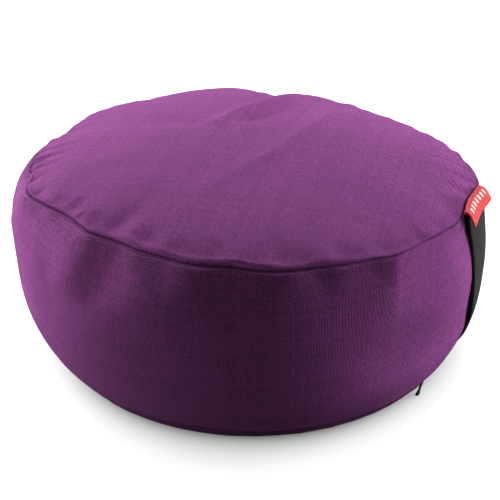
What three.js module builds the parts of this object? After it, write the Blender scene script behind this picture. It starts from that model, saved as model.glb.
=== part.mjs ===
// Round floor cushion: a filled canvas cover with a crowned top, a bulging side band,
// a webbing handle, a small folded side label and the pull of the zip in its bottom seam.
// Millimetres, +Z up, origin on the floor under the middle of the band, handle on +X.
// Directions round the cushion are degrees from the handle, anticlockwise from above.

import * as THREE from 'three';
import { mergeVertices } from 'three/addons/utils/BufferGeometryUtils.js';

// Cover: the band's widest ring, the two seam rings and the crown
const BELLY_RADIUS = 180;
const BELLY_HEIGHT = 84;
const SEAM_RADIUS = 163;
const SEAM_HEIGHT = 140;
const FOOT_RADIUS = 157;
const FOOT_HEIGHT = 12;
const CROWN = 21;
const CROWN_POWER = 2.4;
const UPPER_BAND_POWER = 2.8;
const LOWER_BAND_POWER = 3.2;
const CURL_UNDER = 10;

// The cloth swells this far beside the top seam, within this width of it
const SEAM_SWELL = 1.8;
const SEAM_SWELL_WIDTH = 9;

// How the filling has settled: slow waves round each ring, as size, peak direction and count
const SEAM_RADIUS_WAVES = [
  { size: 8, peak: -43, count: 1 },
  { size: 8.7, peak: -34, count: 2 },
  { size: 5.2, peak: -13, count: 3 },
];
const SEAM_HEIGHT_WAVES = [
  { size: 8, peak: -77, count: 1 },
  { size: 3, peak: 18, count: 2 },
];
const BELLY_RADIUS_WAVES = [{ size: 4.7, peak: -67, count: 2 }];
const BELLY_HEIGHT_WAVES = [{ size: 20, peak: -153, count: 1 }];
const FOOT_RADIUS_WAVES = [{ size: 8, peak: -18, count: 1 }];

// Corners and tucks of the top seam: direction, half width in degrees, move out, move up
const SEAM_TUCKS = [
  { at: -177, width: 10, out: -5, up: -2 },
  { at: -135, width: 7, out: 6, up: 0 },
  { at: -117, width: 8, out: -4, up: 0.5 },
  { at: -100, width: 5, out: -2.5, up: 0 },
  { at: -79, width: 6, out: 3, up: 0 },
  { at: -61, width: 7, out: 4, up: 0 },
  { at: -36, width: 3, out: 2, up: 0 },
  { at: -25, width: 6, out: -2.5, up: 0 },
  { at: -6, width: 7, out: -5.5, up: 0 },
  { at: 10, width: 6, out: 2, up: 0 },
  { at: 52, width: 25, out: -2.5, up: 0 },
  { at: 104, width: 4, out: -5, up: -2 },
  { at: 114, width: 9, out: 5, up: 0 },
  { at: 143, width: 14, out: -3, up: 0 },
];

// Soft folds: direction and half width in degrees, middle and half length as shares of the way
// from the top's centre to the seam or from the seam to the belly, and height (negative sinks)
const TOP_FOLDS = [
  { at: 105, width: 9, middle: 0.86, length: 0.22, height: -3.5 },
  { at: 72, width: 12, middle: 0.75, length: 0.3, height: -2.5 },
  { at: 88, width: 10, middle: 0.7, length: 0.25, height: 1 },
  { at: -33, width: 8, middle: 0.9, length: 0.12, height: -2 },
];
const BAND_FOLDS = [
  { at: -108, width: 5, middle: 0.35, length: 0.4, height: 2.5 },
  { at: -99, width: 6, middle: 0.4, length: 0.4, height: -2 },
  { at: -37, width: 5, middle: 0.35, length: 0.4, height: 2 },
  { at: -29, width: 5, middle: 0.35, length: 0.35, height: -1.5 },
];

// Folds fade out towards the seam and towards the top's centre over these shares
const FOLD_FADE_AT_SEAM = 0.06;
const FOLD_FADE_AT_CENTRE = 0.1;

// Rings of the mesh, as shares of each stretch of the profile
const ROUND_STEPS = 90;
const CURL_SHARES = [0, 0.4, 0.75];
const LOWER_BAND_SHARES = [1, 0.94, 0.85, 0.72, 0.55, 0.36, 0.18];
const UPPER_BAND_SHARES = [1, 0.78, 0.56, 0.36, 0.2, 0.1, 0.04];
const TOP_SHARES = [1, 0.975, 0.94, 0.88, 0.8, 0.68, 0.54, 0.38, 0.2, 0];

// Handle: flat webbing from seam to seam, bowed off the band, on a slant from top to foot
const STRAP_WIDTH = 35;
const STRAP_THICKNESS = 1.8;
const STRAP_BOW = 5.5;
const STRAP_BOW_POWER = 0.9;
const STRAP_TOP_DIRECTION = -4;
const STRAP_FOOT_DIRECTION = 6;
const STRAP_TOP_DROP = 4;
const STRAP_FOOT_RISE = 2;
const STRAP_STEPS = 22;

// Side label: a strip folded in two, its fold outwards, over the handle's upper end
const LABEL_DIRECTION = -5;
const LABEL_WIDTH = 42;
const LABEL_REACH = 9;
const LABEL_DROP = 8;
const LABEL_DROP_POWER = 1.5;
const LABEL_ARCH = 2;
const LABEL_LAYER = 0.6;
const LABEL_SLOT = 0.5;
const LABEL_STEPS_OUT = 7;
const LABEL_STEPS_ALONG = 14;

// Zip pull: a slim tab that hangs from the bottom seam to the floor
const PULL_DIRECTION = -17.5;
const PULL_TOP = 12;
const PULL_TOP_WIDTH = 1.8;
const PULL_TIP_WIDTH = 3;
const PULL_THICKNESS = 1.4;
const PULL_TUCK_IN = 2;
const PULL_SWING = 3;

// Clear air between neighbouring pieces
const GAP = 0.3;

// Vertices nearer than this are one
const MERGE_DISTANCE = 1e-3;

const CANVAS = { color: 0x8f4f8c, roughness: 0.9, metalness: 0 };
const WEBBING = { color: 0x3f3d40, roughness: 0.85, metalness: 0 };
const RED_TAPE = { color: 0xe53c41, roughness: 0.75, metalness: 0 };
const BLACK_METAL = { color: 0x1c1b1d, roughness: 0.45, metalness: 0.6 };

const radians = THREE.MathUtils.degToRad;

function waves(list, angle) {
  return list.reduce((sum, w) => sum + w.size * Math.cos(w.count * radians(angle - w.peak)), 0);
}

// 1 at the middle of a stretch, falling smoothly to nothing a few half widths away
function bump(distance, halfWidth) {
  return Math.exp(-((distance / halfWidth) ** 2));
}

function turnBetween(a, b) {
  return ((((a - b) % 360) + 540) % 360) - 180;
}

function tuck(angle, column) {
  return SEAM_TUCKS.reduce((sum, t) => sum + t[column] * bump(turnBetween(angle, t.at), t.width), 0);
}

function folds(list, angle, share) {
  return list.reduce((sum, f) => {
    const across = bump(turnBetween(angle, f.at), f.width);
    return sum + f.height * across * bump(share - f.middle, f.length);
  }, 0);
}

// The three rings that carry the cover at one direction
function ringsAt(angle) {
  return {
    seamRadius: SEAM_RADIUS + waves(SEAM_RADIUS_WAVES, angle) + tuck(angle, 'out'),
    seamHeight: SEAM_HEIGHT + waves(SEAM_HEIGHT_WAVES, angle) + tuck(angle, 'up'),
    bellyRadius: BELLY_RADIUS + waves(BELLY_RADIUS_WAVES, angle),
    bellyHeight: BELLY_HEIGHT + waves(BELLY_HEIGHT_WAVES, angle),
    footRadius: FOOT_RADIUS + waves(FOOT_RADIUS_WAVES, angle),
  };
}

// Rises from 0 at the seam to 1 at the swell's full width
function swell(distance) {
  return 1 - (1 - Math.min(distance / SEAM_SWELL_WIDTH, 1)) ** 2;
}

// Top panel: share 0 is its centre and 1 the seam
function topPoint(angle, share) {
  const ring = ringsAt(angle);
  const level = SEAM_HEIGHT + share * (ring.seamHeight - SEAM_HEIGHT);
  const crown = CROWN * (1 - share ** CROWN_POWER);
  const fade = Math.min(1, (1 - share) / FOLD_FADE_AT_SEAM, share / FOLD_FADE_AT_CENTRE);
  const fold = folds(TOP_FOLDS, angle, share) * fade;
  const rise = SEAM_SWELL * swell((1 - share) * ring.seamRadius);
  return { radius: share * ring.seamRadius, height: level + crown + fold + rise };
}

// Band above the belly: share 0 is the seam and 1 the belly
function upperBandPoint(angle, share) {
  const ring = ringsAt(angle);
  const rise = ring.seamHeight - ring.bellyHeight;
  const drawnIn = (ring.bellyRadius - ring.seamRadius) * (1 - share) ** UPPER_BAND_POWER;
  const puffed = SEAM_SWELL * swell(share * rise) * (1 - share);
  const fade = Math.min(1, share / FOLD_FADE_AT_CENTRE) * (1 - share ** 2);
  const fold = folds(BAND_FOLDS, angle, share) * fade;
  return { radius: ring.bellyRadius - drawnIn + puffed + fold, height: ring.seamHeight - share * rise };
}

// Band below the belly: share 0 is the belly and 1 the bottom seam
function lowerBandPoint(angle, share) {
  const ring = ringsAt(angle);
  const drawnIn = (ring.bellyRadius - ring.footRadius) * share ** LOWER_BAND_POWER;
  const drop = share * (ring.bellyHeight - FOOT_HEIGHT);
  return { radius: ring.bellyRadius - drawnIn, height: ring.bellyHeight - drop };
}

// Bottom panel's edge: share 0 is the floor and 1 the bottom seam
function curlPoint(angle, share) {
  const turn = share * Math.PI / 2;
  const radius = ringsAt(angle).footRadius - CURL_UNDER * (1 - Math.sin(turn));
  return { radius, height: FOOT_HEIGHT * (1 - Math.cos(turn)) };
}

// The band's outside radius at a height
function bandRadius(angle, height) {
  const ring = ringsAt(angle);
  const { seamHeight, bellyHeight } = ring;
  if (height > bellyHeight) {
    return upperBandPoint(angle, (seamHeight - height) / (seamHeight - bellyHeight)).radius;
  }
  return lowerBandPoint(angle, (bellyHeight - height) / (bellyHeight - FOOT_HEIGHT)).radius;
}

// Closed surface with shared vertices, facing out
function closed(geometry) {
  geometry.deleteAttribute('normal');
  geometry.deleteAttribute('uv');
  const merged = mergeVertices(geometry, MERGE_DISTANCE);
  merged.computeVertexNormals();
  return merged;
}

function moved(geometry, move) {
  const place = geometry.attributes.position;
  const point = new THREE.Vector3();
  for (let i = 0; i < place.count; i += 1) {
    point.fromBufferAttribute(place, i);
    move(point, i);
    place.setXYZ(i, point.x, point.y, point.z);
  }
  return geometry;
}

function part(name, geometry, look) {
  const mesh = new THREE.Mesh(closed(geometry), new THREE.MeshStandardMaterial(look));
  mesh.name = name;
  return mesh;
}

// One filled solid: a turned profile whose rings then follow the settled filling
function cushion() {
  const stations = [
    () => ({ radius: 0, height: 0 }),
    ...CURL_SHARES.map((share) => (angle) => curlPoint(angle, share)),
    ...LOWER_BAND_SHARES.map((share) => (angle) => lowerBandPoint(angle, share)),
    ...UPPER_BAND_SHARES.map((share) => (angle) => upperBandPoint(angle, share)),
    ...TOP_SHARES.map((share) => (angle) => topPoint(angle, share)),
  ];
  const profile = stations.map((station) => {
    const { radius, height } = station(0);
    return new THREE.Vector2(radius, height);
  });
  const geometry = new THREE.LatheGeometry(profile, ROUND_STEPS);
  moved(geometry, (point, index) => {
    const step = Math.floor(index / stations.length) % ROUND_STEPS;
    const angle = (step * 360) / ROUND_STEPS;
    const { radius, height } = stations[index % stations.length](angle);
    point.set(radius * Math.cos(radians(angle)), radius * Math.sin(radians(angle)), height);
  });
  return part('cushion', geometry, CANVAS);
}

// Section in the XZ plane, extruded evenly to both sides of it
function extrudedBothSides(outline, width, steps) {
  const shape = new THREE.Shape(outline.map(([x, z]) => new THREE.Vector2(x, z)));
  const geometry = new THREE.ExtrudeGeometry(shape, { depth: width, steps, bevelEnabled: false });
  return geometry.rotateX(Math.PI / 2).translate(0, width / 2, 0);
}

// How far out flat webbing lies at a direction and height: on whatever stands out most behind it
function webbingReach(direction, height) {
  const half = THREE.MathUtils.radToDeg(STRAP_WIDTH / 2 / BELLY_RADIUS);
  const behind = [-half, -half / 2, 0, half / 2, half];
  const depths = behind.map((turn) => bandRadius(direction + turn, height) * Math.cos(radians(turn)));
  return Math.max(...depths);
}

// Webbing from under the label to the bottom seam, standing off the band in between
function handleStrap() {
  const top = ringsAt(STRAP_TOP_DIRECTION).seamHeight - STRAP_TOP_DROP;
  const foot = FOOT_HEIGHT + STRAP_FOOT_RISE;
  const direction = (share) => THREE.MathUtils.lerp(STRAP_TOP_DIRECTION, STRAP_FOOT_DIRECTION, share);
  const inner = [];
  const outer = [];
  for (let i = 0; i <= STRAP_STEPS; i += 1) {
    const share = i / STRAP_STEPS;
    const height = top + share * (foot - top);
    const bow = STRAP_BOW * Math.sin(Math.PI * share) ** STRAP_BOW_POWER;
    const reach = webbingReach(direction(share), height) + GAP + bow;
    inner.push([reach, height]);
    outer.unshift([reach + STRAP_THICKNESS, height]);
  }
  const geometry = extrudedBothSides([...inner, ...outer], STRAP_WIDTH, 1);
  moved(geometry, (point) => {
    const share = (top - point.z) / (top - foot);
    point.applyAxisAngle(new THREE.Vector3(0, 0, 1), radians(direction(share)));
  });
  return part('handle_strap', geometry, WEBBING);
}

// Hairpin section: both layers run out from the seam, arch a little and droop to the fold
function labelSection() {
  const half = LABEL_LAYER + LABEL_SLOT / 2;
  const line = (offset, share) => [
    LABEL_REACH * share,
    LABEL_ARCH * Math.sin(Math.PI * share) - LABEL_DROP * share ** LABEL_DROP_POWER + offset,
  ];
  const shares = Array.from({ length: LABEL_STEPS_OUT + 1 }, (_, i) => i / LABEL_STEPS_OUT);
  const back = [...shares].reverse();
  return [
    ...shares.map((share) => line(half, share)),
    ...back.map((share) => line(-half, share)),
    ...shares.slice(0, -1).map((share) => line(-LABEL_SLOT / 2, share)),
    ...back.slice(1).map((share) => line(LABEL_SLOT / 2, share)),
  ];
}

function sideLabel() {
  const geometry = extrudedBothSides(labelSection(), LABEL_WIDTH, LABEL_STEPS_ALONG);
  moved(geometry, (point) => {
    const angle = LABEL_DIRECTION + THREE.MathUtils.radToDeg(point.y / SEAM_RADIUS);
    const ring = ringsAt(angle);
    const radius = ring.seamRadius + GAP + point.x;
    const height = ring.seamHeight + GAP + LABEL_LAYER + LABEL_SLOT / 2 + point.z;
    point.set(radius * Math.cos(radians(angle)), radius * Math.sin(radians(angle)), height);
  });
  return part('side_label', geometry, RED_TAPE);
}

// Slim tab, wider and rounded at its lower end
function zipPull() {
  const shape = new THREE.Shape();
  const tip = PULL_TIP_WIDTH / 2;
  shape.moveTo(-PULL_TOP_WIDTH / 2, PULL_TOP);
  shape.lineTo(-tip, GAP + tip);
  shape.absarc(0, GAP + tip, tip, Math.PI, 2 * Math.PI, false);
  shape.lineTo(PULL_TOP_WIDTH / 2, PULL_TOP);
  const options = { depth: PULL_THICKNESS, steps: 1, bevelEnabled: false, curveSegments: 10 };
  const geometry = new THREE.ExtrudeGeometry(shape, options);
  geometry.rotateX(Math.PI / 2).rotateZ(Math.PI / 2);
  const seat = ringsAt(PULL_DIRECTION).footRadius + 2 * GAP;
  moved(geometry, (point) => {
    const hang = 1 - point.z / PULL_TOP;
    point.x += seat - PULL_TUCK_IN * hang;
    point.y -= PULL_SWING * hang;
  });
  geometry.rotateZ(radians(PULL_DIRECTION));
  return part('zip_pull', geometry, BLACK_METAL);
}

const zafu = new THREE.Group();
zafu.add(cushion(), handleStrap(), sideLabel(), zipPull());

export default zafu;
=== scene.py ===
"""Round floor cushion with a webbing handle: its cloth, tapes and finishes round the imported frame."""

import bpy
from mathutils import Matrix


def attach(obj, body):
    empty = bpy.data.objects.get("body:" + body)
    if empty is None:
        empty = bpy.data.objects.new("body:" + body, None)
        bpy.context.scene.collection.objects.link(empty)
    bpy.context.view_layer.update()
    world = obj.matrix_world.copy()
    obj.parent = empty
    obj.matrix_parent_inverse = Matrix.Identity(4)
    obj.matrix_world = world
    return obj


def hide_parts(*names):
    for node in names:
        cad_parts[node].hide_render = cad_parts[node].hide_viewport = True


bl_info = {
    "name": "Round Floor Cushion",
    "version": (1, 0, 0),
    "blender": (4, 5, 0),
    "location": "View3D > Sidebar > Floor Cushion",
    "description": "Makes a filled canvas floor cushion with its handle, side label and zip pull",
    "category": "Add Mesh",
}

import math

import bmesh
import bpy
from bpy.props import FloatProperty, FloatVectorProperty, IntProperty, PointerProperty
from mathutils import Matrix, Vector, noise

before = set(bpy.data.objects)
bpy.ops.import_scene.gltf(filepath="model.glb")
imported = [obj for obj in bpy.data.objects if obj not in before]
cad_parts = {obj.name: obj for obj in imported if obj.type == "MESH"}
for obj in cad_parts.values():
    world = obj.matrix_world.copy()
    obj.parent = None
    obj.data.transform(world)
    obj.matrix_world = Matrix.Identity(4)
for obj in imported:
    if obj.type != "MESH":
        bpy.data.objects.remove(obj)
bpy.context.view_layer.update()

# Tables and radii are in millimetres, and directions are degrees from the handle, anticlockwise
MM = 0.001

# Cover: the band's widest ring, the two seam rings and the crown
BELLY_RADIUS = 180
BELLY_HEIGHT = 84
SEAM_RADIUS = 163
SEAM_HEIGHT = 140
FOOT_RADIUS = 157
FOOT_HEIGHT = 12
CROWN = 21
CROWN_POWER = 2.4
UPPER_BAND_POWER = 2.8
LOWER_BAND_POWER = 3.2
CURL_UNDER = 10
SEAM_SWELL = 1.8
SEAM_SWELL_WIDTH = 9

# Slow waves round each ring: size, peak direction, count
SEAM_RADIUS_WAVES = ((8, -43, 1), (8.7, -34, 2), (5.2, -13, 3))
SEAM_HEIGHT_WAVES = ((8, -77, 1), (3, 18, 2))
BELLY_RADIUS_WAVES = ((4.7, -67, 2),)
BELLY_HEIGHT_WAVES = ((20, -153, 1),)
FOOT_RADIUS_WAVES = ((8, -18, 1),)

# Corners and tucks of the top seam: direction, half width, move out, move up
SEAM_TUCKS = (
    (-177, 10, -5, -2),
    (-135, 7, 6, 0),
    (-117, 8, -4, 0.5),
    (-100, 5, -2.5, 0),
    (-79, 6, 3, 0),
    (-61, 7, 4, 0),
    (-36, 3, 2, 0),
    (-25, 6, -2.5, 0),
    (-6, 7, -5.5, 0),
    (10, 6, 2, 0),
    (52, 25, -2.5, 0),
    (104, 4, -5, -2),
    (114, 9, 5, 0),
    (143, 14, -3, 0),
)

# Soft folds: direction, half width, middle and half length as shares of the stretch, height
TOP_FOLDS = (
    (105, 9, 0.86, 0.22, -3.5),
    (72, 12, 0.75, 0.3, -2.5),
    (88, 10, 0.7, 0.25, 1),
    (-33, 8, 0.9, 0.12, -2),
)
BAND_FOLDS = (
    (-108, 5, 0.35, 0.4, 2.5),
    (-99, 6, 0.4, 0.4, -2),
    (-37, 5, 0.35, 0.4, 2),
    (-29, 5, 0.35, 0.35, -1.5),
)
FOLD_FADE_AT_SEAM = 0.06
FOLD_FADE_AT_CENTRE = 0.1

# Stretches of the cover's profile: a station is the stretch's number plus a share of it
TOP, UPPER_BAND, LOWER_BAND, CURL, BOTTOM = range(5)
STRETCH_SHARES = {
    TOP: (0, 0.07, 0.15, 0.24, 0.33, 0.42, 0.51, 0.6, 0.68, 0.75, 0.82, 0.88, 0.925, 0.958, 0.98, 0.992),
    UPPER_BAND: (0, 0.025, 0.08, 0.16, 0.28, 0.42, 0.56, 0.7, 0.85),
    LOWER_BAND: (0, 0.12, 0.24, 0.36, 0.48, 0.6, 0.72, 0.83, 0.91, 0.96, 0.985),
    CURL: (0, 0.15, 0.5),
    BOTTOM: (0, 0.12, 0.35, 0.6, 0.85, 1),
}

# Handle
STRAP_WIDTH = 35
STRAP_THICKNESS = 1.8
STRAP_BOW = 5.5
STRAP_BOW_POWER = 0.9
STRAP_TOP_DIRECTION = -4
STRAP_FOOT_DIRECTION = 6
STRAP_TOP_DROP = 4
STRAP_FOOT_RISE = 2

# Side label
LABEL_DIRECTION = -5
LABEL_WIDTH = 42
LABEL_REACH = 9
LABEL_DROP = 8
LABEL_DROP_POWER = 1.5
LABEL_ARCH = 2
LABEL_LAYER = 0.6
LABEL_SLOT = 0.5

# Zip pull
PULL_DIRECTION = -17.5
PULL_TOP = 12
PULL_TOP_WIDTH = 1.8
PULL_TIP_WIDTH = 3
PULL_THICKNESS = 1.4
PULL_TUCK_IN = 2
PULL_SWING = 3

# Between the cover and what is sewn to it
GAP = 0.3


def waves(table, angle):
    return sum(size * math.cos(count * math.radians(angle - peak)) for size, peak, count in table)


def bump(distance, half_width):
    return math.exp(-((distance / half_width) ** 2))


def turn_between(a, b):
    return (a - b + 180) % 360 - 180


def tuck(angle, column):
    return sum(row[column] * bump(turn_between(angle, row[0]), row[1]) for row in SEAM_TUCKS)


def folds(table, angle, share):
    return sum(
        height * bump(turn_between(angle, at), width) * bump(share - middle, length)
        for at, width, middle, length, height in table
    )


def clamp(value):
    return max(0.0, min(1.0, value))


def rings_at(angle):
    """The seam's radius and height, the belly's radius and height, and the foot's radius."""
    return (
        SEAM_RADIUS + waves(SEAM_RADIUS_WAVES, angle) + tuck(angle, 2),
        SEAM_HEIGHT + waves(SEAM_HEIGHT_WAVES, angle) + tuck(angle, 3),
        BELLY_RADIUS + waves(BELLY_RADIUS_WAVES, angle),
        BELLY_HEIGHT + waves(BELLY_HEIGHT_WAVES, angle),
        FOOT_RADIUS + waves(FOOT_RADIUS_WAVES, angle),
    )


def swell(distance):
    return 1 - (1 - min(distance / SEAM_SWELL_WIDTH, 1)) ** 2


def top_point(angle, share):
    """Radius and height on the top panel: share 0 is its centre and 1 the seam."""
    seam_radius, seam_height, _, _, _ = rings_at(angle)
    level = SEAM_HEIGHT + share * (seam_height - SEAM_HEIGHT)
    crown = CROWN * (1 - share**CROWN_POWER)
    fade = min(1, (1 - share) / FOLD_FADE_AT_SEAM, share / FOLD_FADE_AT_CENTRE)
    fold = folds(TOP_FOLDS, angle, share) * fade
    rise = SEAM_SWELL * swell((1 - share) * seam_radius)
    return share * seam_radius, level + crown + fold + rise


def upper_band_point(angle, share):
    """Share 0 is the top seam and 1 the belly."""
    seam_radius, seam_height, belly_radius, belly_height, _ = rings_at(angle)
    drop = share * (seam_height - belly_height)
    drawn_in = (belly_radius - seam_radius) * (1 - share) ** UPPER_BAND_POWER
    puffed = SEAM_SWELL * swell(drop) * (1 - share)
    fade = min(1, share / FOLD_FADE_AT_CENTRE) * (1 - share**2)
    fold = folds(BAND_FOLDS, angle, share) * fade
    return belly_radius - drawn_in + puffed + fold, seam_height - drop


def lower_band_point(angle, share):
    """Share 0 is the belly and 1 the bottom seam."""
    _, _, belly_radius, belly_height, foot_radius = rings_at(angle)
    drawn_in = (belly_radius - foot_radius) * share**LOWER_BAND_POWER
    return belly_radius - drawn_in, belly_height - share * (belly_height - FOOT_HEIGHT)


def curl_point(angle, share):
    """The bottom panel's edge: share 0 is the bottom seam and 1 the floor."""
    turn = (1 - share) * math.pi / 2
    radius = rings_at(angle)[4] - CURL_UNDER * (1 - math.sin(turn))
    return radius, FOOT_HEIGHT * (1 - math.cos(turn))


def bottom_point(angle, share):
    """The flat bottom: share 0 is where it meets the floor and 1 its centre."""
    return (rings_at(angle)[4] - CURL_UNDER) * (1 - share), 0


STRETCH_POINTS = (top_point, upper_band_point, lower_band_point, curl_point, bottom_point)


def cover_point(angle, station):
    """A point of the cover in metres."""
    stretch = min(int(station), BOTTOM)
    radius, height = STRETCH_POINTS[stretch](angle, station - stretch)
    turn = math.radians(angle)
    return Vector((radius * math.cos(turn), radius * math.sin(turn), height)) * MM


def band_radius(angle, height):
    _, seam_height, _, belly_height, _ = rings_at(angle)
    if height > belly_height:
        share = (seam_height - height) / (seam_height - belly_height)
        return upper_band_point(angle, max(share, 0))[0]
    return lower_band_point(angle, (belly_height - height) / (belly_height - FOOT_HEIGHT))[0]


def webbing_reach(direction, height):
    """How far out flat webbing lies: on whatever stands out most behind it."""
    half = math.degrees(STRAP_WIDTH / 2 / BELLY_RADIUS)
    behind = (-half, -half / 2, 0, half / 2, half)
    return max(band_radius(direction + t, height) * math.cos(math.radians(t)) for t in behind)


def new_piece(name, bm, material, node):
    """Puts a finished bmesh into the scene as a piece that rides on the cushion's body."""
    mesh = bpy.data.meshes.new(name)
    bm.to_mesh(mesh)
    bm.free()
    piece = bpy.data.objects.new(name, mesh)
    bpy.context.scene.collection.objects.link(piece)
    mesh.materials.append(material)
    for polygon in mesh.polygons:
        polygon.use_smooth = True
    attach(piece, "root")
    if node:
        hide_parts(node)
    return piece


def apply_modifiers(piece):
    """Bakes the piece's modifiers into its mesh."""
    graph = bpy.context.evaluated_depsgraph_get()
    baked = bpy.data.meshes.new_from_object(piece.evaluated_get(graph))
    piece.modifiers.clear()
    old = piece.data
    piece.data = baked
    bpy.data.meshes.remove(old)


class Shader:
    """A few short words for building a node material."""

    def __init__(self, name):
        self.material = bpy.data.materials.new(name)
        self.material.use_nodes = True
        self.tree = self.material.node_tree
        self.tree.nodes.clear()
        self.out = self.tree.nodes.new("ShaderNodeOutputMaterial")
        self.skin = self.tree.nodes.new("ShaderNodeBsdfPrincipled")
        self.join(self.skin.outputs["BSDF"], self.out.inputs["Surface"])

    def join(self, source, target):
        self.tree.links.new(source, target)

    def feed(self, value, socket):
        if isinstance(value, bpy.types.NodeSocket):
            self.join(value, socket)
        else:
            socket.default_value = value

    def node(self, kind, **settings):
        made = self.tree.nodes.new("ShaderNode" + kind)
        for key, value in settings.items():
            setattr(made, key, value)
        return made

    def maths(self, operation, a, b=0.0, c=0.0):
        made = self.node("Math", operation=operation)
        for value, socket in zip((a, b, c), made.inputs):
            self.feed(value, socket)
        return made.outputs[0]

    def blend(self, share, low, high):
        """low where share is 0 and high where it is 1, for numbers."""
        made = self.node("Mix", data_type="FLOAT")
        for value, socket in zip((share, low, high), (made.inputs[0], made.inputs[2], made.inputs[3])):
            self.feed(value, socket)
        return made.outputs[0]

    def tint(self, share, low, high):
        """low where share is 0 and high where it is 1, for colours."""
        made = self.node("Mix", data_type="RGBA")
        for value, socket in zip((share, low, high), (made.inputs[0], made.inputs[6], made.inputs[7])):
            self.feed(value, socket)
        return made.outputs[2]

    def uv(self, name):
        """The named UV map, and its u and v apart."""
        made = self.node("UVMap", uv_map=name)
        parts = self.node("SeparateXYZ")
        self.join(made.outputs[0], parts.inputs[0])
        return made.outputs[0], parts.outputs[0], parts.outputs[1]

    def noise(self, vector, scale, detail=2.0, roughness=0.5):
        made = self.node("TexNoise")
        self.join(vector, made.inputs["Vector"])
        made.inputs["Scale"].default_value = scale
        made.inputs["Detail"].default_value = detail
        made.inputs["Roughness"].default_value = roughness
        return made.outputs["Fac"]

    def speckle(self, x, y):
        """A random number for each whole pair of x and y."""
        pair = self.node("CombineXYZ")
        self.feed(x, pair.inputs[0])
        self.feed(y, pair.inputs[1])
        made = self.node("TexWhiteNoise", noise_dimensions="2D")
        self.join(pair.outputs[0], made.inputs["Vector"])
        return made.outputs["Value"]

    def relief(self, height, distance):
        made = self.node("Bump")
        made.inputs["Strength"].default_value = 1
        made.inputs["Distance"].default_value = distance
        self.join(height, made.inputs["Height"])
        self.join(made.outputs[0], self.skin.inputs["Normal"])

    def finish(self, settings):
        """Sets plain numbers on the shader's sockets, by socket name."""
        for name, value in settings.items():
            self.skin.inputs[name].default_value = value
        return self.material


def shades(colour, shares):
    """The colour made darker or lighter by each share, for colour sockets."""
    return [tuple(min(part * share, 1) for part in colour) + (1,) for share in shares]


# Waves of wandering threads to a metre, and how far the noise strays from its middle
WANDER_SCALE = 260
WANDER_SPAN = 0.25
# How round each thread's back is, fuller when lower, and how much height it loses in a dip
THREAD_ROUNDNESS = 0.55
THREAD_DIP = 0.55
# How much of the weave's height is the even pillow of each crossing
PILLOW_SHARE = 0.5
# Loose fibres standing off the threads, as a share of the threads' height
FLUFF_SHARE = 0.3
FLUFF_ROUGHNESS = 0.7


def plain_weave(shader, u, v, pitch, loose, ribbed=0.0):
    """Height, a random number for each thread and one for each crossing, for u and v in metres
    along the two threads. loose is how many pitches the threads wander by, and ribbed how much
    the rows beside each other along v stand out as ribs."""
    point = shader.node("CombineXYZ")
    shader.feed(u, point.inputs[0])
    shader.feed(v, point.inputs[1])
    wander = shader.maths("SUBTRACT", shader.noise(point.outputs[0], WANDER_SCALE), 0.5)
    drift = shader.maths("MULTIPLY", wander, loose / WANDER_SPAN)
    a = shader.maths("ADD", shader.maths("DIVIDE", u, pitch), drift)
    b = shader.maths("SUBTRACT", shader.maths("DIVIDE", v, pitch), drift)
    column = shader.maths("FLOOR", a)
    row = shader.maths("FLOOR", b)
    over = shader.maths("FLOORED_MODULO", shader.maths("ADD", column, row), 2.0)
    across_a = shader.maths("SINE", shader.maths("MULTIPLY", shader.maths("FRACT", a), math.pi))
    across_b = shader.maths("SINE", shader.maths("MULTIPLY", shader.maths("FRACT", b), math.pi))
    round_a = shader.maths("POWER", across_a, THREAD_ROUNDNESS)
    round_b = shader.maths("POWER", across_b, THREAD_ROUNDNESS)
    lift_a = shader.maths("MULTIPLY_ADD", across_b, THREAD_DIP, 1 - THREAD_DIP)
    lift_b = shader.maths("MULTIPLY_ADD", across_a, THREAD_DIP, 1 - THREAD_DIP)
    warp = shader.maths("MULTIPLY", round_a, lift_a)
    weft = shader.maths("MULTIPLY", round_b, lift_b)
    pillow = shader.maths("MULTIPLY", round_a, round_b)
    crossed = shader.blend(over, warp, weft)
    height = shader.blend(PILLOW_SHARE, crossed, shader.blend(ribbed, pillow, round_b))
    strand = shader.blend(over, shader.speckle(column, 3.0), shader.speckle(row, 7.0))
    return height, strand, shader.speckle(column, row)


def mixed_tone(shader, strand, strand_share, crossing, crossing_share):
    """How light the weave is: partly by thread and partly by crossing."""
    spots = shader.maths("MULTIPLY", crossing, crossing_share)
    return shader.maths("MULTIPLY_ADD", strand, strand_share, spots)


def fluffy_relief(shader, uv, fineness, height, distance):
    """Raises the weave, with fine loose fibres on it."""
    fluff = shader.noise(uv, fineness, 2.0, FLUFF_ROUGHNESS)
    fibres = shader.maths("MULTIPLY", fluff, FLUFF_SHARE)
    shader.relief(shader.maths("ADD", height, fibres), distance)


# Heights of the weave between which the canvas goes from the painted shade of its gaps to its threads'
# colour
GAP_FLOOR = 0.1
GAP_TOP = 0.65
# How far the painted shade of seams, pleats and edges takes the canvas towards the shadow colour
PAINTED_SHADE_SHARE = 0.95


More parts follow.
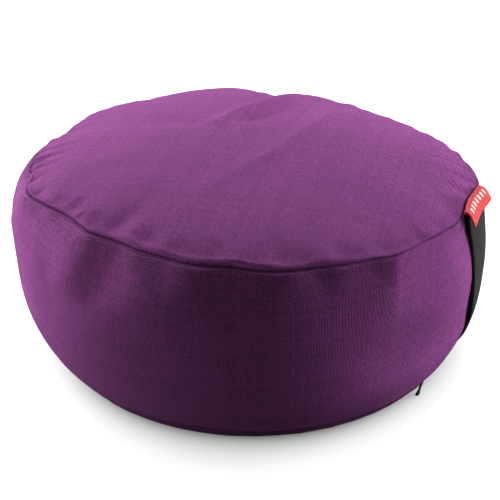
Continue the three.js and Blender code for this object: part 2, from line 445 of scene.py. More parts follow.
def canvas(look):
    """Matt plain-weave canvas, with painted shade between its threads, in seams and pleats and under
    edges.
    """
    shader = Shader("purple_canvas")
    uv, u, v = shader.uv("cloth")
    dark, light, gap, shadow = shades(look.canvas_colour, (0.5, 1.45, 0.3, 0.12))
    height, strand, crossing = plain_weave(shader, u, v, look.thread_pitch, loose=0.15, ribbed=0.2)
    tone = mixed_tone(shader, strand, 0.3, crossing, 0.4)
    worn = shader.noise(uv, scale=14.0, detail=3.0, roughness=0.6)
    tone = shader.maths("ADD", tone, shader.maths("MULTIPLY", worn, 0.3))
    threads = shader.tint(tone, dark, light)
    # Painted shade in the gaps between threads, where the weave is low
    depth = shader.node("MapRange")
    shader.join(height, depth.inputs["Value"])
    depth.inputs["From Min"].default_value = GAP_FLOOR
    depth.inputs["From Max"].default_value = GAP_TOP
    cloth = shader.tint(depth.outputs[0], gap, threads)
    # Painted shade: the cloth goes towards the shadow colour in seams, pleats, under the rolled edge and
    # on the bottom panel's edge
    painted_shade = shader.node("Attribute", attribute_name="painted_shade")
    shaded = shader.maths("MULTIPLY", painted_shade.outputs["Fac"], PAINTED_SHADE_SHARE)
    shader.join(shader.tint(shaded, cloth, shadow), shader.skin.inputs["Base Color"])
    fluffy_relief(shader, uv, 2600.0, height, 0.0013)
    return shader.finish(
        {
            "Roughness": 0.95,
            "Sheen Weight": 0.12,
            "Sheen Roughness": 0.5,
            "Sheen Tint": (0.75, 0.2, 0.7, 1),
            "Specular IOR Level": 0.06,
        }
    )


# Distance between neighbouring threads of the webbing and of the label
WEBBING_PITCH = 1.6
LABEL_PITCH = 0.28


def webbing(look):
    """Dense black webbing in a tight plain weave."""
    shader = Shader("black_webbing")
    uv, u, v = shader.uv("cloth")
    dark, light = shades(look.webbing_colour, (0.3, 2.2))
    height, strand, crossing = plain_weave(shader, u, v, WEBBING_PITCH * MM, loose=0.1)
    tone = mixed_tone(shader, strand, 0.5, crossing, 0.3)
    shader.join(shader.tint(tone, dark, light), shader.skin.inputs["Base Color"])
    fluffy_relief(shader, uv, 3000.0, height, 0.0006)
    return shader.finish(
        {"Roughness": 0.85, "Sheen Weight": 0.02, "Sheen Roughness": 0.5, "Specular IOR Level": 0.06}
    )


# Plain bars woven into the label's upper layer: where their row runs, its size in millimetres,
# and how much of each pitch is bar
BAR_MIDDLE = 6.2
BAR_HEIGHT = 3.6
BAR_ROW_LENGTH = 34
BAR_PITCH = 5
BAR_SHARE = 0.5
BAR_COLOUR = (0.6, 0.5, 0.48, 1)


def woven_tape(look):
    """Red woven tape with a row of plain white bars."""
    shader = Shader("red_woven_tape")
    _, u, v = shader.uv("cloth")
    dark, light = shades(look.label_colour, (0.8, 1.15))
    height, strand, crossing = plain_weave(shader, u, v, LABEL_PITCH * MM, loose=0.02)
    red = shader.tint(mixed_tone(shader, strand, 0.4, crossing, 0.3), dark, light)
    beside = shader.maths("COMPARE", v, BAR_MIDDLE * MM, BAR_HEIGHT / 2 * MM)
    within = shader.maths("COMPARE", u, 0.0, BAR_ROW_LENGTH / 2 * MM)
    step = shader.maths("FRACT", shader.maths("DIVIDE", u, BAR_PITCH * MM))
    bar = shader.maths("LESS_THAN", step, BAR_SHARE)
    white = shader.maths("MULTIPLY", shader.maths("MULTIPLY", beside, within), bar)
    shader.join(shader.tint(white, red, BAR_COLOUR), shader.skin.inputs["Base Color"])
    shader.relief(height, 0.0001)
    return shader.finish(
        {"Roughness": 0.7, "Sheen Weight": 0.03, "Sheen Roughness": 0.4, "Specular IOR Level": 0.12}
    )


def thread(look):
    """Twisted sewing thread, darker than the canvas."""
    shader = Shader("sewing_thread")
    place = shader.node("TexCoord")
    twist = shader.noise(place.outputs["Object"], 2400.0, 1.0)
    dark, light = shades(look.canvas_colour, (0.35, 0.75))
    shader.join(shader.tint(twist, dark, light), shader.skin.inputs["Base Color"])
    return shader.finish({"Roughness": 0.7})


def black_metal():
    """Black painted metal, a little worn."""
    shader = Shader("black_painted_metal")
    place = shader.node("TexCoord")
    grain = shader.noise(place.outputs["Object"], 900.0, 3.0)
    tone = shader.tint(grain, (0.002, 0.002, 0.0025, 1), (0.006, 0.006, 0.007, 1))
    shader.join(tone, shader.skin.inputs["Base Color"])
    shader.relief(grain, 0.00005)
    return shader.finish({"Roughness": 0.5, "Specular IOR Level": 0.2})


class CushionLook(bpy.types.PropertyGroup):
    """The sizes and colours that a user would change."""

    thread_pitch: FloatProperty(
        name="Thread pitch", description="Distance between neighbouring threads of the canvas",
        default=0.001, min=0.0005, unit="LENGTH",
    )
    canvas_colour: FloatVectorProperty(
        name="Canvas", description="Colour of the cover",
        default=(0.35, 0.0815, 0.333), size=3, subtype="COLOR",
    )
    webbing_colour: FloatVectorProperty(
        name="Webbing", description="Colour of the handle",
        default=(0.009, 0.0092, 0.0088), size=3, subtype="COLOR",
    )
    label_colour: FloatVectorProperty(
        name="Label", description="Colour of the side label",
        default=(0.52, 0.022, 0.027), size=3, subtype="COLOR",
    )
    round_steps: IntProperty(
        name="Steps round", description="Faces round the cover before it is subdivided",
        default=132, min=48, max=160,
    )
    pressure: FloatProperty(
        name="Filling pressure", description="How hard the filling pushes the cover out",
        default=4.0, min=0.0,
    )
    swell_limit: FloatProperty(
        name="Swell limit", description="Furthest that the filling may push any point of the cover",
        default=0.0015, min=0.0, unit="LENGTH",
    )


class StageLook(bpy.types.PropertyGroup):
    """Camera and light."""

    camera_distance: FloatProperty(
        name="Camera distance", description="From the camera to the middle of the cushion",
        default=0.9, unit="LENGTH",
    )
    camera_azimuth: FloatProperty(
        name="Camera direction", description="Turn of the camera round the cushion",
        default=math.radians(23), subtype="ANGLE",
    )
    camera_elevation: FloatProperty(
        name="Camera height angle", description="Angle of the camera above the floor",
        default=math.radians(29.01), subtype="ANGLE",
    )
    lens: FloatProperty(
        name="Lens", description="Focal length in millimetres", default=82.99,
    )
    light_share: FloatProperty(
        name="Light", description="Share of each softbox's power", default=1.05,
    )
    room_light: FloatProperty(
        name="Room light", description="Strength of the light from all round", default=0.0,
    )
    floor_glow: FloatProperty(
        name="Floor glow", description="How brightly the paper shines of itself near the cushion",
        default=0.88,
    )


# Name, degrees round from the camera and above the floor, distance, width and height in metres,
# and watts
SOFTBOXES = (
    ("left_rim_softbox", -120, 18, 1.0, 0.7, 0.7, 19),
    ("left_low_softbox", -100, 4, 1.1, 0.9, 0.25, 11),
    ("right_rim_softbox", 100, 18, 1.0, 0.7, 0.7, 14.5),
    ("right_low_softbox", 100, 4, 1.1, 0.9, 0.25, 5.5),
    ("back_softbox", 180, 30, 1.2, 1.2, 0.6, 12.7),
    ("top_softbox", 180, 60, 1.2, 1.0, 1.0, 6),
    ("front_left_softbox", -45, 4, 1.1, 0.9, 0.25, 1.4),
    ("front_right_softbox", 45, 4, 1.1, 0.9, 0.25, 1.1),
)

# Soft shade of the cushion on the paper's own glow: its middle and the way over which it fades
# in millimetres, its depth, and the least glow it leaves
SHADE_MIDDLE = (7.6, -2.5)
SHADE_LENGTH = 15
SHADE_DEPTH = 0.93
LEAST_GLOW = 0.05
# Metres from the middle between which the paper's glow rises to its full strength
GLOW_RISE = (0.3, 1.2)
FULL_GLOW = 1.2
PAPER_TONE = 0.35
# Radius of the paper floor and height of the paper round it, in metres
ROOM_RADIUS = 6
ROOM_STEPS = 128

# Heights that the softboxes and the camera look at, in metres, and the camera's turns off that
LIGHT_AIM_HEIGHT = 0.08
AIM_HEIGHT = 0.07
AIM_YAW = math.radians(0.18)
AIM_PITCH = math.radians(-0.46)
AIM_ROLL = math.radians(-0.75)


def profile_stations():
    return [stretch + share for stretch in range(BOTTOM + 1) for share in STRETCH_SHARES[stretch]]


def station_of(point, known):
    """The station of a spun vertex, from its radius and height."""
    radius = math.hypot(point.x, point.y)
    return min(known, key=lambda row: (row[0] - radius) ** 2 + (row[1] - point.z) ** 2)[2]


def cover_mesh(steps):
    """The cover's coarse mesh: its profile spun round and then moved onto the settled rings."""
    bm = bmesh.new()
    station_layer = bm.verts.layers.float.new("station")
    known = []
    chain = []
    for station in profile_stations():
        point = cover_point(0, station)
        vertex = bm.verts.new((point.x, 0, point.z))
        vertex[station_layer] = station
        known.append((point.x, point.z, station))
        chain.append(vertex)
    edges = [bm.edges.new(pair) for pair in zip(chain, chain[1:])]
    bmesh.ops.spin(
        bm, geom=chain + edges, cent=(0, 0, 0), axis=(0, 0, 1), dvec=(0, 0, 0),
        angle=2 * math.pi, steps=steps, use_merge=True, use_duplicate=False,
    )
    bmesh.ops.remove_doubles(bm, verts=bm.verts, dist=1e-6)
    bmesh.ops.recalc_face_normals(bm, faces=bm.faces)
    for vertex in bm.verts:
        turn = math.atan2(vertex.co.y, vertex.co.x)
        vertex[station_layer] = station_of(vertex.co, known)
        vertex.co = cover_point(math.degrees(turn), vertex[station_layer])
    return bm


SEAM_STATIONS = (UPPER_BAND, CURL)
# Filling: stations within which a vertex is on a seam and over which the floor takes hold, how much
# smaller the cover starts in metres, and the frames it takes
ON_SEAM = 0.01
FLOOR_HOLD = 0.7
START_SMALLER = 0.0015
SIM_FRAMES = 20
# The crown's middle rises as one with this ring of stations: not beyond the edge, and fully so
# from the fade's length further in
POLE_RING = (0.2, 0.3)
POLE_EDGE = 0.24
POLE_FADE = 0.15


def off_seam(station):
    """How far a station is from the nearer sewn seam."""
    return min(abs(station - seam) for seam in SEAM_STATIONS)


def settle(piece, look):
    """Fills the cover: cloth under pressure, held at its seams and where it stands on the floor."""
    mesh = piece.data
    intended = [v.co.copy() for v in mesh.vertices]
    stations = [row.value for row in mesh.attributes["station"].data]
    held = piece.vertex_groups.new(name="held")
    for vertex, station in zip(mesh.vertices, stations):
        sewn = off_seam(station) < ON_SEAM
        on_floor = clamp((station - CURL) / FLOOR_HOLD)
        held.add([vertex.index], 1.0 if sewn else on_floor, "REPLACE")
        if not sewn and station < CURL:
            vertex.co = vertex.co - vertex.normal * START_SMALLER
    cloth = piece.modifiers.new("filling", "CLOTH")
    cloth.settings.quality = 6
    cloth.settings.mass = 0.3
    cloth.settings.tension_stiffness = 25
    cloth.settings.compression_stiffness = 8
    cloth.settings.shear_stiffness = 5
    cloth.settings.bending_stiffness = 1.5
    cloth.settings.vertex_group_mass = "held"
    cloth.settings.use_pressure = True
    cloth.settings.uniform_pressure_force = look.pressure
    cloth.settings.effector_weights.gravity = 0
    cloth.settings.shrink_min = -0.02
    cloth.collision_settings.use_collision = False
    cloth.point_cache.frame_start = 1
    cloth.point_cache.frame_end = SIM_FRAMES
    scene = bpy.context.scene
    for step in range(1, SIM_FRAMES + 1):
        scene.frame_set(step)
    apply_modifiers(piece)
    scene.frame_set(1)
    moves = [vertex.co - goal for vertex, goal in zip(piece.data.vertices, intended)]
    low, high = POLE_RING
    beside_pole = [move for move, station in zip(moves, stations) if low < station < high]
    lift = sum(beside_pole, Vector()) / len(beside_pole)
    for vertex, goal, move, station in zip(piece.data.vertices, intended, moves, stations):
        move = move.lerp(Vector((0, 0, lift.z)), clamp((POLE_EDGE - station) / POLE_FADE))
        if move.length > look.swell_limit:
            move *= look.swell_limit / move.length
        vertex.co = goal + move


# Pleats pressed into the top panel's edge: direction, half width in degrees, depth, length
TOP_PLEATS = (
    (176, 1.3, 1.6, 14),
    (-179, 1, 2.2, 13),
    (-171, 1.2, 2.2, 13),
    (-164, 1.3, 2.8, 14),
    (-157.5, 1.4, 3.4, 15),
    (-151.5, 1.4, 3.6, 14),
    (-145.5, 1.4, 3.2, 13),
    (-139.5, 1.3, 2, 12),
    (-132, 1.2, 1, 10),
    (-113, 1, 0.8, 9),
    (-37, 1, 1, 9),
    (-28, 1.6, 0.9, 20),
    (-21, 1.2, 0.8, 16),
    (-14, 1.3, 1, 18),
    (-3, 1.3, 1.2, 16),
    (4, 1.3, 1.3, 18),
    (11, 1.3, 1.3, 18),
    (18, 1.4, 1.2, 16),
    (26, 1.5, 0.8, 14),
    (101, 1.2, 2, 16),
    (109, 1.2, 1.2, 14),
)
# Softer lobes between them: direction, half width, height, length
PUFFS = ((-158, 18, 1.4, 9), (-72, 28, 1, 9), (8, 20, 0.8, 9))
# Pleats pressed into the band below the seam, as on the top
BAND_PLEATS = (
    (-175, 1.2, 1, 12),
    (-160, 1.4, 0.8, 14),
    (-145, 1.4, 0.7, 12),
    (-109, 1.6, 0.5, 14),
    (-98, 1.6, 0.5, 12),
    (-45, 1.2, 0.9, 12),
    (-34, 1.2, 1.2, 16),
    (-23, 1.5, 0.6, 12),
    (14, 1.5, 1, 12),
    (30, 1.5, 0.8, 12),
)
# How much of a pleat's depth the seam itself is drawn in by, and how much faster that fades below
SEAM_SHARE = 0.45
SEAM_FADE = 3
# Where pleats and puckers start beside a seam, and the way over which they come up
RISE_START = 0.8
RISE_LENGTH = 2.5
# Puckers of both seams: spacing, share and seed of each size of them, then height and length
PUCKERS = ((8.5, 1, 9), (4, 0.5, 5))
PUCKER_HEIGHT = 0.35
FOOT_PUCKER_HEIGHT = 0.6
PUCKER_LENGTH = 8
# Grooves and rolls along the seams: height, distance from the seam, half width
SEAM_GROOVE = (-1.5, 0, 0.9)
EDGE_ROLL = (0.7, 3.2, 2.4)
BAND_ROLL = (0.3, 2.4, 1.6)
FOOT_GROOVE = (-2, 0, 1.4)
FOOT_ROLL = (0.8, 3.5, 2.2)
# Half width of the painted shade along a seam
SEAM_SHADE_WIDTH = 0.8
# Rough way round the curled edge, from the bottom seam to the floor
CURL_LENGTH = FOOT_HEIGHT * 1.5
# How dark the bottom panel's edge is, which no light reaches
UNDERSIDE_SHADE = 0.75
# Shade below the rolled edge of the top: middle direction, half width, darkness, length
EAVES = (
    (-84, 38, 0.5, 12),
    (-165, 24, 0.6, 16),
    (14, 12, 0.7, 12),
)
# Where the seam is pulled in most and its line of painted shade is wider: direction, half width, extra
# share
WIDE_SHADE_SEAMS = ((-166, 20, 2.2), (13, 12, 1.4))
# Painted shade for each millimetre of a pleat's depth
PLEAT_SHADE = 0.1


def uneven(x, y, seed):
    """Smooth noise from -1 to 1."""
    return noise.noise(Vector((x, y, seed)))


def beside_seam(table, angle, away):
    """Sum of a table's rows, each strongest in its own direction and fading away from the seam."""
    return sum(
        depth * bump(turn_between(angle, at), width) * math.exp(-away / length)
        for at, width, depth, length in table
    )


def ridge(shape, away):
    height, at, half_width = shape
    return height * bump(away - at, half_width)


def seam_distance(angle, station):
    """Millimetres from the sewn seam that a station belongs to, and that seam."""
    seam_radius, seam_height, _, belly_height, _ = rings_at(angle)
    if station < UPPER_BAND:
        return (UPPER_BAND - station) * seam_radius, UPPER_BAND
    if station < LOWER_BAND:
        return (station - UPPER_BAND) * (seam_height - belly_height), UPPER_BAND
    if station < CURL:
        return (CURL - station) * (belly_height - FOOT_HEIGHT), CURL
    if station < BOTTOM:
        return (station - CURL) * CURL_LENGTH, CURL
    return CURL_LENGTH + (station - BOTTOM) * FOOT_RADIUS, CURL


def fine_move(angle, station):
    """How far a point of the cover moves out along its normal, in millimetres."""
    away, seam = seam_distance(angle, station)
    turn = math.radians(angle)
    x, y = math.cos(turn) * SEAM_RADIUS, math.sin(turn) * SEAM_RADIUS
    rise = clamp((away - RISE_START) / RISE_LENGTH)
    wave = sum(share * uneven(x / gap, y / gap, seed) for gap, share, seed in PUCKERS)
    pucker = wave * rise * math.exp(-away / PUCKER_LENGTH)
    if seam == CURL:
        roll = ridge(FOOT_ROLL, away) if station < CURL else 0
        return ridge(FOOT_GROOVE, away) + roll + FOOT_PUCKER_HEIGHT * pucker
    move = ridge(SEAM_GROOVE, away) + PUCKER_HEIGHT * pucker
    if station < UPPER_BAND:
        move += ridge(EDGE_ROLL, away) + beside_seam(PUFFS, angle, away) * rise
        return move - beside_seam(TOP_PLEATS, angle, away) * (SEAM_SHARE + (1 - SEAM_SHARE) * rise)
    drawn = SEAM_SHARE * beside_seam(TOP_PLEATS, angle, away * SEAM_FADE)
    return move - drawn + ridge(BAND_ROLL, away) - beside_seam(BAND_PLEATS, angle, away) * rise


def painted_shade_at(angle, station):
    """How much painted shade a point's colour takes, from 0 to 1, for light that does not reach it."""
    away, seam = seam_distance(angle, station)
    wider = 1 + sum(extra * bump(turn_between(angle, at), width) for at, width, extra in WIDE_SHADE_SEAMS)
    depth = bump(away, SEAM_SHADE_WIDTH * wider)
    if station > CURL:
        return max(depth, UNDERSIDE_SHADE)
    if seam == UPPER_BAND:
        pressed = TOP_PLEATS if station < seam else BAND_PLEATS
        depth = max(depth, PLEAT_SHADE * beside_seam(pressed, angle, away))
    if UPPER_BAND < station < LOWER_BAND:
        depth = max(depth, beside_seam(EAVES, angle, away))
    return depth


# Broad swells of the filling: direction, half width, station of the middle, half length, height
SWELLS = (
    (-16, 12, 1.75, 0.32, 4.5),
    (-20, 14, 2.3, 0.2, -2),
    (-155, 30, 2.1, 0.7, -1.5),
    (-118, 9, 1.4, 0.35, 1.1),
    (-100, 9, 1.4, 0.35, -0.6),
)

# Creases drawn across the top panel: both ends, half width and height
TOP_CREASES = (
    (-6, 128, -30, -12, 7, 3.2),
    (14, 130, -8, 10, 8, -4),
    (56, 112, 34, -45, 8, 3.4),
    (36, -20, 12, -100, 8, 1.2),
    (-88, 60, -84, -10, 8, 1.2),
)
# The lower, the more bluntly a crease ends
CREASE_POWER = 0.6

# Slow hills and hollows of the loose filling: how many to a metre, height, shift of the noise
HILLS = ((11, 1.1, (0, 0, 0)), (26, 0.5, (3, 1, 7)))
# They fade out over this many stations beside a seam
HILLS_FADE = 0.12

# The pinch at the crown's centre is levelled to the ring between the last two of these stations
PINCH, PINCH_RING, PINCH_EDGE = 0.04, 0.1, 0.14


def creases(x, y):
    """Height of the top panel's creases at a point."""
    total = 0
    for x1, y1, x2, y2, width, height in TOP_CREASES:
        along = Vector((x2 - x1, y2 - y1))
        out = Vector((x - x1, y - y1))
        share = clamp(out.dot(along) / along.length_squared)
        across = along.normalized().cross(out)
        total += height * bump(across, width) * math.sin(math.pi * share) ** CREASE_POWER
    return total


def hills(point):
    return sum(
        height * noise.noise(point * count + Vector(shift)) for count, height, shift in HILLS
    )


def level_crown(mesh, stations):
    """Takes out the pinch at the centre of the top panel, where all its quads meet."""
    placed = list(zip(mesh.vertices, stations))
    heights = [v.co.z for v, station in placed if PINCH_RING < station < PINCH_EDGE]
    level = sum(heights) / len(heights)
    for vertex, station in placed:
        if station < PINCH_EDGE:
            share = clamp((station - PINCH) / (PINCH_EDGE - PINCH))
            eased = share * share * (3 - 2 * share)
            vertex.co.z = level + (vertex.co.z - level) * eased


def refine(piece):
    """Presses seam valleys, pleats and the filling's unevenness into the subdivided cover, and stores
    the painted shade for its colour.
    """
    mesh = piece.data
    mesh.attributes.new("painted_shade", "FLOAT", "POINT")
    stations = [row.value for row in mesh.attributes["station"].data]
    painted_shade = mesh.attributes["painted_shade"].data
    level_crown(mesh, stations)
    moves = []
    for vertex, station in zip(mesh.vertices, stations):
        angle = math.degrees(math.atan2(vertex.co.y, vertex.co.x))
        move = fine_move(angle, station)
        # Painted shade of seams, pleats, the rolled edge and the bottom panel's edge, kept for the
        # canvas colour
        painted_shade[vertex.index].value = painted_shade_at(angle, station)
        if station < CURL:
            move += hills(vertex.co) * clamp(off_seam(station) / HILLS_FADE)
            move += folds(SWELLS, angle, station)
        if station < UPPER_BAND:
            move += creases(vertex.co.x / MM, vertex.co.y / MM)
        moves.append(vertex.normal * move * MM)
    for vertex, move in zip(mesh.vertices, moves):
        vertex.co += move
        vertex.co.z = max(vertex.co.z, 0)


# Threads to each thread pitch on the panels, and up the band
PANEL_FINENESS = 1.2
BAND_FINENESS = 0.83
# Direction in which the panels' rows of thread lie beside each other
PANEL_GRAIN = 8


def map_cloth(piece, look):
    """Lays the weave: flat on the panels, and round the band in a whole number of thread pairs."""
    mesh = piece.data
    layer = mesh.attributes["station"].data
    pairs = round(2 * math.pi * BELLY_RADIUS * MM / look.thread_pitch / 2)
    length_round = pairs * 2 * look.thread_pitch
    grain = Matrix.Rotation(math.radians(90 - PANEL_GRAIN), 2)
    uv = mesh.uv_layers.new(name="cloth").data
    for polygon in mesh.polygons:
        stations = [layer[i].value for i in polygon.vertices]
        corners = [mesh.vertices[i].co for i in polygon.vertices]
        middle = sum(stations) / len(stations)
        first = math.atan2(corners[0].y, corners[0].x)
        for loop, corner in zip(polygon.loop_indices, corners):
            turn = math.atan2(corner.y, corner.x)
            if UPPER_BAND < middle < CURL:
                turn += 2 * math.pi if first - turn > math.pi else 0
                turn -= 2 * math.pi if turn - first > math.pi else 0
                place = Vector((turn / 2 / math.pi * length_round, -corner.z * BAND_FINENESS))
            else:
                place = grain @ corner.to_2d() * PANEL_FINENESS
            uv[loop].uv = place


class CUSHION_OT_cover(bpy.types.Operator):
    """Make the filled canvas cover"""

    bl_idname = "cushion.cover"
    bl_label = "Cover"

    def execute(self, context):
        look = context.scene.cushion_look
        cover = new_piece("cover", cover_mesh(look.round_steps), canvas(look), "cushion")
        settle(cover, look)
        smooth = cover.modifiers.new("smooth", "SUBSURF")
        smooth.levels = smooth.render_levels = 2
        apply_modifiers(cover)
        refine(cover)
        map_cloth(cover, look)
        for polygon in cover.data.polygons:
            polygon.use_smooth = True
        return {"FINISHED"}


STRAP_STEPS_LONG = 90
STRAP_STEPS_WIDE = 14
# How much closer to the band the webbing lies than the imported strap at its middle
STRAP_SAG = 1.3
# How far its edges curl in towards the band
STRAP_CURL = 0.9


def strap_place(across, share):
    """A point on the webbing's middle layer in metres: across is in millimetres from its middle."""
    top = rings_at(STRAP_TOP_DIRECTION)[1] - STRAP_TOP_DROP
    foot = FOOT_HEIGHT + STRAP_FOOT_RISE
    direction = STRAP_TOP_DIRECTION + share * (STRAP_FOOT_DIRECTION - STRAP_TOP_DIRECTION)
    height = top + share * (foot - top)
    bow = (STRAP_BOW - STRAP_SAG) * math.sin(math.pi * share) ** STRAP_BOW_POWER
    bow -= STRAP_CURL * (2 * across / STRAP_WIDTH) ** 2
    reach = webbing_reach(direction, height) + GAP + bow + STRAP_THICKNESS / 2
    turn = math.radians(direction)
    out = Vector((math.cos(turn), math.sin(turn), 0))
    along = Vector((-math.sin(turn), math.cos(turn), 0))
    return (out * reach + along * across + Vector((0, 0, height))) * MM


class CUSHION_OT_handle(bpy.types.Operator):
    """Make the webbing handle"""

    bl_idname = "cushion.handle"
    bl_label = "Handle"

    def execute(self, context):
        look = context.scene.cushion_look
        bm = bmesh.new()
        bmesh.ops.create_grid(bm, x_segments=STRAP_STEPS_WIDE, y_segments=STRAP_STEPS_LONG, size=0.5)
        layer = bm.loops.layers.uv.new("cloth")
        length = (rings_at(0)[1] - FOOT_HEIGHT) * MM
        for face in bm.faces:
            for loop in face.loops:
                loop[layer].uv = (loop.vert.co.x * STRAP_WIDTH * MM, (0.5 - loop.vert.co.y) * length)
        for vertex in bm.verts:
            vertex.co = strap_place(vertex.co.x * STRAP_WIDTH, 0.5 - vertex.co.y)
        bmesh.ops.recalc_face_normals(bm, faces=bm.faces)
        strap = new_piece("webbing_handle", bm, webbing(look), "handle_strap")
        thick = strap.modifiers.new("thickness", "SOLIDIFY")
        thick.thickness = STRAP_THICKNESS * MM
        thick.offset = 0
        apply_modifiers(strap)
        return {"FINISHED"}


LABEL_STEPS_LONG = 42
LABEL_STEPS_OUT = 40
# How far the middle of the fold and its far corner stand out past the seam's own line
LABEL_FLATTEN = 1.0
LABEL_CORNER = 1.5
# How much of the way out the fold takes to close
LABEL_FOLD = 0.08
# The woven tape's thickness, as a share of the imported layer
TAPE_SHARE = 0.8
# Its line of stitches: number, pitch, thickness, length, share of the tape's way, and lift
LABEL_STITCHES = 13
LABEL_STITCH_PITCH = 3.1
LABEL_STITCH_THICKNESS = 0.55
LABEL_STITCH_LENGTH = 1.8
LABEL_STITCH_PLACE = 0.07
LABEL_STITCH_LIFT = 0.27


def label_place(along, share):
    """A point on the tape in metres: along is in millimetres, and share runs out on the upper layer
    to the fold at 0.5 and back on the lower one."""
    half = (LABEL_LAYER + LABEL_SLOT) / 2
    reach = 1 - abs(2 * share - 1)
    side = 1 if share < 0.5 else -1
    turn_in = clamp((1 - reach) / LABEL_FOLD)
    offset = side * half * math.sin(turn_in * math.pi / 2)
    out = LABEL_REACH * reach
    lift = LABEL_ARCH * math.sin(math.pi * reach) - LABEL_DROP * reach**LABEL_DROP_POWER + offset
    angle = LABEL_DIRECTION + math.degrees(along / SEAM_RADIUS)
    seam_radius, seam_height = rings_at(angle)[:2]
    radius = seam_radius + GAP + out
    height = seam_height + GAP + LABEL_LAYER + LABEL_SLOT / 2 + lift
    turn = math.radians(angle)
    radius += LABEL_FLATTEN * (1 - (2 * along / LABEL_WIDTH) ** 2) * reach
    radius += LABEL_CORNER * clamp(2 * along / LABEL_WIDTH) ** 2 * reach
    return Vector((radius * math.cos(turn), radius * math.sin(turn), height)) * MM


def stitch(bm, start, end, thick):
    """A short thread from start to end, thinner at both ends."""
    along = end - start
    turn = along.to_track_quat("Z", "Y")
    shape = Matrix.LocRotScale((start + end) / 2, turn, (thick, thick, along.length))
    bmesh.ops.create_uvsphere(bm, u_segments=10, v_segments=8, radius=0.5, matrix=shape)


class CUSHION_OT_label(bpy.types.Operator):
    """Make the folded side label"""

    bl_idname = "cushion.label"
    bl_label = "Side Label"

    def execute(self, context):
        look = context.scene.cushion_look
        bm = bmesh.new()
        bmesh.ops.create_grid(bm, x_segments=LABEL_STEPS_LONG, y_segments=LABEL_STEPS_OUT, size=0.5)
        layer = bm.loops.layers.uv.new("cloth")
        long_way = 2 * math.hypot(LABEL_REACH, LABEL_DROP) * MM
        for face in bm.faces:
            for loop in face.loops:
                loop[layer].uv = (loop.vert.co.x * LABEL_WIDTH * MM, (0.5 - loop.vert.co.y) * long_way)
        for vertex in bm.verts:
            vertex.co = label_place(vertex.co.x * LABEL_WIDTH, 0.5 - vertex.co.y)
        bmesh.ops.recalc_face_normals(bm, faces=bm.faces)
        label = new_piece("side_tape", bm, woven_tape(look), "side_label")
        thick = label.modifiers.new("thickness", "SOLIDIFY")
        thick.thickness = LABEL_LAYER * TAPE_SHARE * MM
        thick.offset = 0
        apply_modifiers(label)
        bm = bmesh.new()
        half = LABEL_STITCH_LENGTH / 2
        lift = Vector((0, 0, LABEL_STITCH_LIFT * MM))
        for number in range(LABEL_STITCHES):
            along = (number - (LABEL_STITCHES - 1) / 2) * LABEL_STITCH_PITCH
            start, end = (
                label_place(along + side, LABEL_STITCH_PLACE) + lift for side in (-half, half)
            )
            stitch(bm, start, end, LABEL_STITCH_THICKNESS * MM)
        new_piece("label_stitches", bm, thread(look), None)
        return {"FINISHED"}


# The pull's rounded tip: how much thicker it is, where it starts and how soon it is full
PULL_BULB = 0.7
PULL_BULB_START = 0.72
PULL_BULB_LENGTH = 0.14
PULL_ROUNDING = 0.4


class CUSHION_OT_zip_pull(bpy.types.Operator):
    """Make the zip's pull tab"""

    bl_idname = "cushion.zip_pull"
    bl_label = "Zip Pull"

    def execute(self, context):
        bm = bmesh.new()
        bmesh.ops.create_cube(bm, size=1)
        bmesh.ops.subdivide_edges(bm, edges=bm.edges, cuts=5, use_grid_fill=True)
        seat = rings_at(PULL_DIRECTION)[4] + 2 * GAP
        turn = Matrix.Rotation(math.radians(PULL_DIRECTION), 3, "Z")
        for vertex in bm.verts:
            hang = 0.5 - vertex.co.z
            width = PULL_TOP_WIDTH + (PULL_TIP_WIDTH - PULL_TOP_WIDTH) * hang**2
            bulb = 1 + PULL_BULB * clamp((hang - PULL_BULB_START) / PULL_BULB_LENGTH)
            x = seat + PULL_THICKNESS * (bulb * vertex.co.x + 0.5) - PULL_TUCK_IN * hang
            y = width * vertex.co.y - PULL_SWING * hang
            z = PULL_TOP - hang * (PULL_TOP - GAP)
            vertex.co = turn @ Vector((x, y, z)) * MM
        pull = new_piece("pull_tab", bm, black_metal(), "zip_pull")
        round_off = pull.modifiers.new("round", "BEVEL")
        round_off.width = PULL_ROUNDING * MM
        round_off.segments = 3
        round_off.limit_method = "ANGLE"
        apply_modifiers(pull)
        return {"FINISHED"}


def aimed(position, target):
    """A matrix at position whose -Z axis points at target."""
    turn = (Vector(target) - Vector(position)).to_track_quat("-Z", "Y")
    return Matrix.LocRotScale(Vector(position), turn, None)


def softbox(name, position, target, size, power):
    light = bpy.data.lights.new(name, "AREA")
    light.shape = "RECTANGLE"
    light.size, light.size_y = size
    light.energy = power
    lamp = bpy.data.objects.new(name, light)
    lamp.matrix_world = aimed(position, target)
    bpy.context.scene.collection.objects.link(lamp)


def polar(azimuth, distance, height):
    """A point at a direction from the front view: 0 is at -Y and 90 at +X."""
    turn = math.radians(azimuth)
    return Vector((math.sin(turn) * distance, -math.cos(turn) * distance, height))


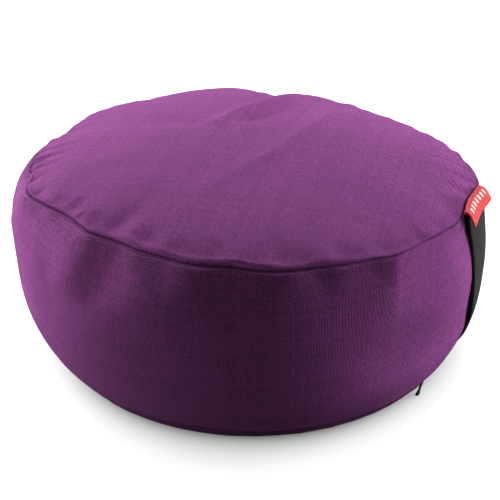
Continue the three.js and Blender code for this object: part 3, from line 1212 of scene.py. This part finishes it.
def white_paper(floor_glow):
    """Paper that shines a little of itself, with a painted shadow of the cushion dimming that glow close
    round its foot.
    """
    paper = Shader("white_floor")
    place = paper.node("TexCoord")
    reach = paper.node("VectorMath", operation="LENGTH")
    paper.join(place.outputs["Object"], reach.inputs[0])
    ramp = paper.node("MapRange", interpolation_type="SMOOTHSTEP")
    paper.join(reach.outputs["Value"], ramp.inputs[0])
    for socket, value in zip(ramp.inputs[1:5], (*GLOW_RISE, floor_glow, FULL_GLOW)):
        socket.default_value = value
    # Painted shadow of the cushion: the glow fades close round its foot
    foot = paper.node("VectorMath", operation="DISTANCE")
    paper.join(place.outputs["Object"], foot.inputs[0])
    foot.inputs[1].default_value = (SHADE_MIDDLE[0] * MM, SHADE_MIDDLE[1] * MM, 0)
    beyond = paper.maths("SUBTRACT", foot.outputs["Value"], (FOOT_RADIUS - CURL_UNDER) * MM)
    fade = paper.maths("EXPONENT", paper.maths("DIVIDE", beyond, -SHADE_LENGTH * MM))
    lit = paper.maths("MULTIPLY_ADD", fade, -SHADE_DEPTH, 1.0)
    glow = paper.maths("MULTIPLY", ramp.outputs[0], paper.maths("MAXIMUM", lit, LEAST_GLOW))
    paper.join(glow, paper.skin.inputs["Emission Strength"])
    return paper.finish(
        {
            "Base Color": (PAPER_TONE, PAPER_TONE, PAPER_TONE, 1),
            "Emission Color": (1, 1, 1, 1),
            "Roughness": 1,
            "Specular IOR Level": 0,
        }
    )


class CUSHION_OT_stage(bpy.types.Operator):
    """Make the floor, the camera and the lights"""

    bl_idname = "cushion.stage"
    bl_label = "Stage"

    def execute(self, context):
        scene = context.scene
        stage = scene.stage_look
        scene.view_settings.view_transform = "Standard"
        white = white_paper(stage.floor_glow)
        bm = bmesh.new()
        bmesh.ops.create_circle(bm, cap_ends=True, segments=ROOM_STEPS, radius=ROOM_RADIUS)
        self.add_paper("floor", bm, white)
        bm = bmesh.new()
        bmesh.ops.create_cone(
            bm, cap_ends=False, segments=ROOM_STEPS, radius1=ROOM_RADIUS, radius2=ROOM_RADIUS,
            depth=ROOM_RADIUS, matrix=Matrix.Translation((0, 0, ROOM_RADIUS / 2)),
        )
        self.add_paper("backdrop", bm, white)
        world = bpy.data.worlds.new("soft_room")
        world.use_nodes = True
        sky = world.node_tree.nodes["Background"]
        sky.inputs["Color"].default_value = (1, 1, 1, 1)
        sky.inputs["Strength"].default_value = stage.room_light
        scene.world = world
        view = math.degrees(stage.camera_azimuth)
        for name, azimuth, elevation, distance, width, height, power in SOFTBOXES:
            lift = math.radians(elevation)
            up = LIGHT_AIM_HEIGHT + distance * math.sin(lift)
            place = polar(view + azimuth, distance * math.cos(lift), up)
            aim = (0, 0, LIGHT_AIM_HEIGHT)
            softbox(name, place, aim, (width, height), power * stage.light_share)
        self.add_camera(context, stage)
        return {"FINISHED"}

    def add_paper(self, name, bm, white):
        mesh = bpy.data.meshes.new(name)
        bm.to_mesh(mesh)
        bm.free()
        mesh.materials.append(white)
        sheet = bpy.data.objects.new(name, mesh)
        sheet.visible_diffuse = False
        bpy.context.scene.collection.objects.link(sheet)

    def add_camera(self, context, stage):
        flat = math.cos(stage.camera_elevation) * stage.camera_distance
        lift = math.sin(stage.camera_elevation) * stage.camera_distance
        place = polar(math.degrees(stage.camera_azimuth), flat, AIM_HEIGHT + lift)
        data = bpy.data.cameras.new("camera")
        data.lens = stage.lens
        data.sensor_width = 36
        data.sensor_fit = "HORIZONTAL"
        data.clip_start = 0.01
        camera = bpy.data.objects.new("camera", data)
        turn = Matrix.Rotation(-AIM_YAW, 4, "Y") @ Matrix.Rotation(AIM_PITCH, 4, "X")
        turn = turn @ Matrix.Rotation(AIM_ROLL, 4, "Z")
        camera.matrix_world = aimed(place, (0, 0, AIM_HEIGHT)) @ turn
        context.scene.collection.objects.link(camera)
        context.scene.camera = camera


class CUSHION_PT_panel(bpy.types.Panel):
    """Lists the steps that make the cushion"""

    bl_label = "Floor Cushion"
    bl_idname = "CUSHION_PT_panel"
    bl_space_type = "VIEW_3D"
    bl_region_type = "UI"
    bl_category = "Floor Cushion"

    def draw(self, context):
        layout = self.layout
        for group in (context.scene.cushion_look, context.scene.stage_look):
            for name in group.bl_rna.properties.keys():
                if name not in ("rna_type", "name"):
                    layout.prop(group, name)
        for step in OPERATORS:
            layout.operator(step.bl_idname)


OPERATORS = (
    CUSHION_OT_cover,
    CUSHION_OT_handle,
    CUSHION_OT_label,
    CUSHION_OT_zip_pull,
    CUSHION_OT_stage,
)
CLASSES = (CushionLook, StageLook, *OPERATORS, CUSHION_PT_panel)


def register():
    for cls in CLASSES:
        bpy.utils.register_class(cls)
    bpy.types.Scene.cushion_look = PointerProperty(type=CushionLook)
    bpy.types.Scene.stage_look = PointerProperty(type=StageLook)


def unregister():
    del bpy.types.Scene.stage_look
    del bpy.types.Scene.cushion_look
    for cls in reversed(CLASSES):
        bpy.utils.unregister_class(cls)


def main():
    register()
    bpy.ops.cushion.stage()
    bpy.ops.cushion.cover()
    bpy.ops.cushion.handle()
    bpy.ops.cushion.label()
    bpy.ops.cushion.zip_pull()


if __name__ == "__main__":
    main()
